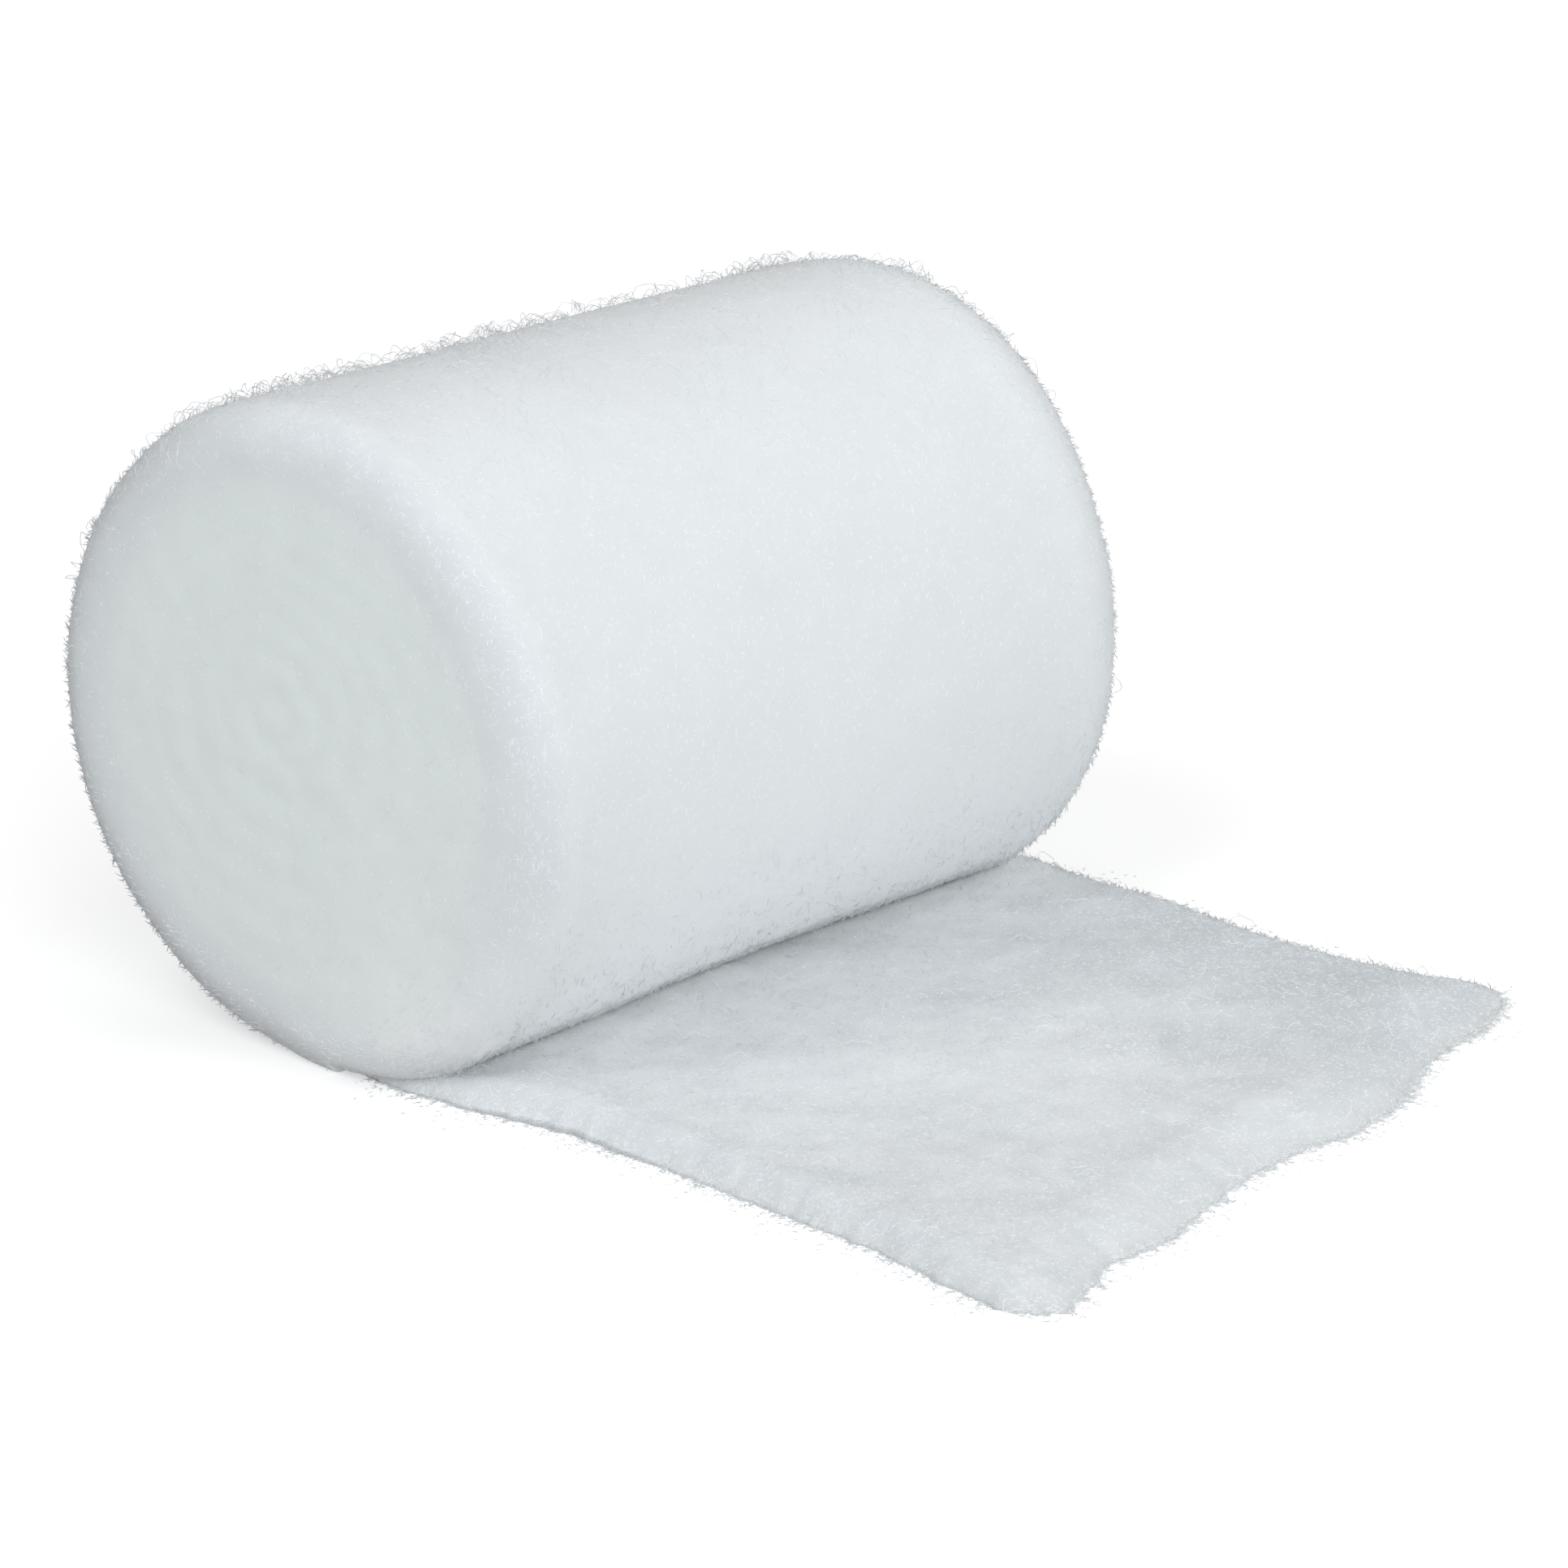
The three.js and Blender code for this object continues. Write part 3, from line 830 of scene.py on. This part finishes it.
def loose_heights(x, y, from_side, from_torn):
    """The heights of the loose end's underside and top."""
    lift = np.zeros_like(x)
    for hump in LIFTS:
        away = np.clip(np.hypot(x - hump["x"], y - hump["y"]) / hump["reach"], 0, 1)
        lift = lift + hump["height"] * (1 - away ** 2) ** 2
    thickness = np.full(x.shape, STRIP_THICKNESS)
    for lump in LUMPS:
        phase = lump["along_x"] * x + lump["along_y"] * y + lump["phase"]
        thickness = thickness + lump["height"] * np.sin(phase)
    flat = np.stack([x, y, np.zeros_like(x)], axis=-1)
    thickness = add_relief(thickness, flat, LOOSE_RELIEF)
    thickness = thickness + CREASE_SWELL * np.exp(-(((x - CREASE_SWELL_X) / CREASE_SWELL_REACH) ** 2))
    filled = smooth((x - LOOSE_START_X) / FILL_START_LENGTH) * smooth((FILL_END_X - x) / FILL_LENGTH)
    filled = filled * (y < 0)
    thickness = thickness - FILLED_THINNING * filled * np.exp(-from_side / FILLED_REACH)
    side_taper = lerp(SIDE_TAPER, FILLED_TAPER, filled)
    shares = np.minimum(edge_share(from_side, side_taper), edge_share(from_torn, TORN_TAPER))
    top = np.minimum(lift + thickness * shares, room_under_roll(x, y))
    low = lift * smooth(from_side / EDGE_HANG)
    return low, np.maximum(top, low + LEAST_THICKNESS)


def thin_and_shade_share(x, y, from_edge):
    """How dark the loose end is painted, from 0 to 1: for thinner wadding and as painted shade."""
    flat = np.stack([x, y, np.zeros_like(x)], axis=-1)
    wander = THIN_WANDER * cloud(flat, THIN_PATCH, THIN_SEED)
    share = wander + THIN_AND_SHADE_EDGES * np.exp(-from_edge / THIN_EDGE_REACH)
    for place in THIN_AND_SHADE_PLACES:
        away = np.hypot(x - place["x"], y - place["y"]) / place["reach"]
        share = share + place["share"] * np.exp(-(away ** 2))
    return np.clip(share, 0, 1)


def make_loose_end(material):
    """The loose end as a closed, uneven sheet with ragged edges."""
    share = np.linspace(0, 1, LENGTH_STEPS + 1)
    along = (1 - (1 - share) ** TORN_CROWDING)[:, None]
    share = np.linspace(0, 1, WIDTH_STEPS + 1)
    over = (share - EDGE_CROWDING * np.sin(2 * math.pi * share) / (2 * math.pi))[None, :]
    x, y, from_side, from_torn = loose_plan(along, over)
    low, high = loose_heights(x, y, from_side, from_torn)
    top = np.stack([x, y, high], axis=-1)[:, ::-1]
    under = np.stack([x, y, low], axis=-1)
    places = np.concatenate([top, under], axis=1)
    rows, columns = places.shape[:2]
    upper = np.arange(WIDTH_STEPS)
    lower = columns - 1 - upper
    last = (rows - 1) * columns
    torn_cap = last + np.stack([upper, upper + 1, lower - 1, lower], axis=-1)
    start_cap = np.stack([lower, lower - 1, upper + 1, upper], axis=-1)
    quads = np.concatenate([grid_quads(rows, columns), torn_cap, start_cap])
    points = places.reshape(-1, 3)
    made = make_mesh("loose_padding", points, quads, np.empty((0, 3), int), material)
    thin_and_shade = thin_and_shade_share(x, y, np.minimum(from_side, from_torn))
    # Partly painted shade: darker patches and edges on the loose end, besides thinner wadding.
    store(made, "thin_and_shade", np.concatenate([thin_and_shade[:, ::-1], thin_and_shade], axis=1))
    from_side = np.concatenate([from_side[:, ::-1], from_side], axis=1)
    # Painted light: the loose end is lighter by the crease, against the shade that falls there.
    store(made, "crease", crease_share(places) * ramp(from_side, *CREASE_FROM_SIDE))
    normals = grid_normals(places)
    lays = round_grid(places)
    width = WIDTH_STEPS + 1
    top_quads = grid_quads(rows, columns).reshape(rows - 1, columns, 4)[:, :width - 1]
    surface = {
        "points": points,
        "normals": normals.reshape(-1, 3),
        "lays": lays.reshape(-1, 3),
        "quads": top_quads.reshape(-1, 4),
        "from_side": from_side.ravel(),
    }
    return made, surface


def scatter(rng, surface, count, weights):
    """Random places on a surface, their normals and the strip's direction there."""
    quads = surface["quads"]
    corners = surface["points"][quads]
    crossed = np.cross(corners[:, 2] - corners[:, 0], corners[:, 3] - corners[:, 1])
    chance = np.linalg.norm(crossed, axis=-1) * weights[quads].mean(axis=1)
    chosen = quads[rng.choice(len(quads), count, p=chance / chance.sum())]
    right, up = rng.random((2, count, 1))
    shares = [(1 - right) * (1 - up), right * (1 - up), right * up, (1 - right) * up]

    def mixed(name):
        return sum(share * surface[name][chosen[:, corner]] for corner, share in enumerate(shares))

    return mixed("points"), unit(mixed("normals")), unit(mixed("lays"))


def fibre_paths(rng, bases, normals, lays, kind):
    """Curly paths, as fibres x steps x 3, from their places on a surface."""
    count = len(bases)
    share = np.linspace(0, 1, kind["steps"])[None, :]
    length = rng.uniform(*kind["length"], (count, 1))
    rise = rng.uniform(*kind["rise"], (count, 1))
    turn = rng.normal(0, kind["spread"], (count, 1))
    along = lays * np.cos(turn) + np.cross(normals, lays) * np.sin(turn)
    across = np.cross(normals, along)
    distance = length * (share - kind["behind"])
    phase = 2 * math.pi * distance / kind["wave"] + rng.uniform(0, 2 * math.pi, (count, 1))
    bend = rng.normal(0, kind["bend"], (count, 1)) / length
    sideways = bend * distance ** 2 + kind["crimp"] * np.sin(phase)
    bow = 4 * share * (1 - share)
    shape = share ** FREE_BOW if kind["free"] else bow
    waves_up = CRIMP_UP_SHARE * kind["crimp"] * np.cos(CRIMP_UP_RATE * phase)
    height = rise * shape + waves_up * bow - SINK
    paths = (bases[:, None, :] + along[:, None, :] * distance[..., None]
             + across[:, None, :] * sideways[..., None] + normals[:, None, :] * height[..., None])
    paths[..., 2] = np.maximum(paths[..., 2], FIBRE_FLOOR)
    return paths


def make_fibres(name, paths, normals):
    """One mesh of closed threads along paths, pointed at both ends. Light passes through such
    fine fibres, so they are shaded as the wadding under them and cast no shadow."""
    piece = FIBRE_PIECES[name]
    thickness = FIBRE_KINDS[piece["kind"]]["thickness"]
    count, steps = paths.shape[:2]
    tangents = unit(np.gradient(paths, axis=1))
    side = np.roll(tangents[:, 0], 1, axis=-1)
    columns = [paths[:, 0]]
    outward = [np.zeros((count, 3))]
    for step in range(1, steps - 1):
        tangent = tangents[:, step]
        side = unit(side - tangent * (side * tangent).sum(axis=-1, keepdims=True))
        other = np.cross(tangent, side)
        for corner in range(FIBRE_SIDES):
            turn = 2 * math.pi * corner / FIBRE_SIDES
            outward.append(side * math.cos(turn) + other * math.sin(turn))
            columns.append(paths[:, step] + thickness / 2 * outward[-1])
    columns.append(paths[:, -1])
    outward.append(np.zeros((count, 3)))
    points = np.stack(columns, axis=1)
    shading = unit(normals[:, None] + FIBRE_ROUNDNESS * np.stack(outward, axis=1))
    rings = np.arange(FIBRE_SIDES * (steps - 2)).reshape(-1, FIBRE_SIDES) + 1
    turned = np.roll(rings, -1, axis=1)
    quads = np.stack([rings[:-1], turned[:-1], turned[1:], rings[1:]], axis=-1).reshape(-1, 4)
    tip = points.shape[1] - 1
    first = np.stack([np.zeros(FIBRE_SIDES, int), turned[0], rings[0]], axis=-1)
    final = np.stack([rings[-1], turned[-1], np.full(FIBRE_SIDES, tip)], axis=-1)
    offsets = (np.arange(count) * points.shape[1])[:, None, None]
    all_quads = (quads[None] + offsets).reshape(-1, 4)
    all_triangles = (np.concatenate([first, final])[None] + offsets).reshape(-1, 3)
    material = bpy.data.materials[piece["material"]]
    made = make_mesh(name, points.reshape(-1, 3), all_quads, all_triangles, material,
                     shading.reshape(-1, 3))
    made.visible_shadow = False
    return made


def dress_surface(rng, name, surface, weights):
    """A piece's fibres on a surface, as dense as the weights."""
    piece = FIBRE_PIECES[name]
    bases, normals, lays = scatter(rng, surface, piece["count"], weights)
    paths = fibre_paths(rng, bases, normals, lays, FIBRE_KINDS[piece["kind"]])
    return make_fibres(name, paths, normals)


def dress_edge(rng, name, along, over, outward):
    """A piece's fibres out of an edge of the loose end, at shares of its length and width."""
    kind = FIBRE_KINDS[FIBRE_PIECES[name]["kind"]]
    x, y, from_side, from_torn = loose_plan(along, over)
    low, high = loose_heights(x, y, from_side, from_torn)
    bases = np.stack([x, y, lerp(low, high, rng.random(len(x)))], axis=-1)
    tufts = clusters(bases, EDGE_TUFTS) ** 2
    out = kind["reach"] * rng.exponential(1, len(x)) * (OUT_EVERYWHERE + OUT_IN_TUFTS * tufts)
    bases = bases + outward * out[:, None]
    normals = np.tile([0.0, 0.0, 1.0], (len(x), 1))
    lays = np.cross(normals, outward)
    paths = fibre_paths(rng, bases, normals, lays, kind)
    return make_fibres(name, paths, normals)


def dress_torn_end(rng, name):
    count = FIBRE_PIECES[name]["count"]
    over = rng.random(count)
    outward = np.tile([1.0, 0.0, 0.0], (count, 1))
    return dress_edge(rng, name, np.ones(count), over, outward)


def dress_long_edges(rng, name):
    count = FIBRE_PIECES[name]["count"]
    along = rng.uniform(EDGE_FIBRES_START, 1, count)
    over = np.round(rng.random(count))
    outward = np.stack([np.zeros(count), 2 * over - 1, np.zeros(count)], axis=-1)
    return dress_edge(rng, name, along, over, outward)


def dress_roll(rng, surface):
    points = surface["points"]
    height = points[:, 2]
    clear = ramp(height, *CLEAR_HEIGHTS)
    lying = clear * (1 - LYING_LOSS_ON_ENDS * surface["face"])
    tufts = clusters(points, ROLL_TUFTS) ** 2
    fuzzy = FUZZ_EVERYWHERE + FUZZ_ON_RIMS * surface["rim"] + crease_share(points)
    fuzzy = fuzzy * clear * (FUZZ_BETWEEN_TUFTS + tufts)
    on_top = ramp(height, *TOP_HEIGHTS) ** 2 * (1 - LOOP_LOSS_ON_ENDS * surface["face"])
    looped_top = on_top * (LOOPS_BETWEEN_CLUSTERS + clusters(points, LOOP_CLUSTERS))
    looped = clear * (LOOPS_EVERYWHERE + looped_top + LOOPS_ON_RIMS * surface["rim"])
    from_hanging = (height - HANGING_HEIGHT) / HANGING_REACH
    over_crease = np.exp(-(from_hanging ** 2)) * (points[:, 0] > LEAVING_X)
    return [
        dress_surface(rng, "roll_fibres", surface, lying),
        dress_surface(rng, "roll_fuzz", surface, fuzzy),
        dress_surface(rng, "roll_loops", surface, looped),
        dress_surface(rng, "hanging_fibres", surface, over_crease),
    ]


def dress_loose_end(rng, surface):
    points = surface["points"]
    in_front = ramp(points[:, 0], *LOOSE_FIBRES_X)
    tufts = clusters(points, LOOSE_TUFTS) ** 2
    by_edges = tufts * np.exp(-surface["from_side"] / EDGE_FUZZ_REACH)
    fuzzy = in_front * (LOOSE_FUZZ_EVERYWHERE + by_edges)
    return [
        dress_surface(rng, "loose_fibres", surface, in_front),
        dress_surface(rng, "loose_fuzz", surface, fuzzy),
        dress_surface(rng, "loose_loops", surface, in_front),
        dress_torn_end(rng, "torn_fibres"),
        dress_torn_end(rng, "shaded_torn_fibres"),
        dress_long_edges(rng, "edge_fibres"),
    ]


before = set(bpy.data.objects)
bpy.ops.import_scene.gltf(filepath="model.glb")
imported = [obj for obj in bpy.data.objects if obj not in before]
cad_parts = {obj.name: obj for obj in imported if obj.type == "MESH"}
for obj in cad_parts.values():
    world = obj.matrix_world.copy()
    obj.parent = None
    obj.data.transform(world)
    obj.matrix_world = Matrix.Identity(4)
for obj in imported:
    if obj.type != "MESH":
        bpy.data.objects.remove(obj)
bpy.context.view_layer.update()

make_camera()
make_floor()
make_world()
make_lights()

for fibre_name, fibre_shader in FIBRE_SHADERS.items():
    make_material(fibre_name, fibre_shader)
# The tints paint shade on the roll's rims and light in the crease, and partly shade on the loose end.
roll_tints = {"cut_edges": CUT_COLOUR, "painted_rim_shade": RIM_SHADE_COLOUR, "crease": CREASE_LIGHT_COLOUR}
loose_tints = {"thin_and_shade": THIN_AND_SHADE_COLOUR, "crease": CREASE_LIGHT_COLOUR}
roll_wadding = make_wadding_material("roll_wadding", FACE_COLOUR, roll_tints, ROLL_MOTTLING)
loose_wadding = make_wadding_material("loose_wadding", LOOSE_COLOUR, loose_tints, LOOSE_MOTTLING)
roll, roll_surface = make_roll(roll_wadding)
loose, loose_surface = make_loose_end(loose_wadding)
rng = np.random.default_rng(SEED)
roll_fibres = dress_roll(rng, roll_surface)
loose_fibres = dress_loose_end(rng, loose_surface)

for piece in [roll, loose] + roll_fibres + loose_fibres:
    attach(piece, "root")
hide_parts("wound_roll")
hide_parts("loose_end")
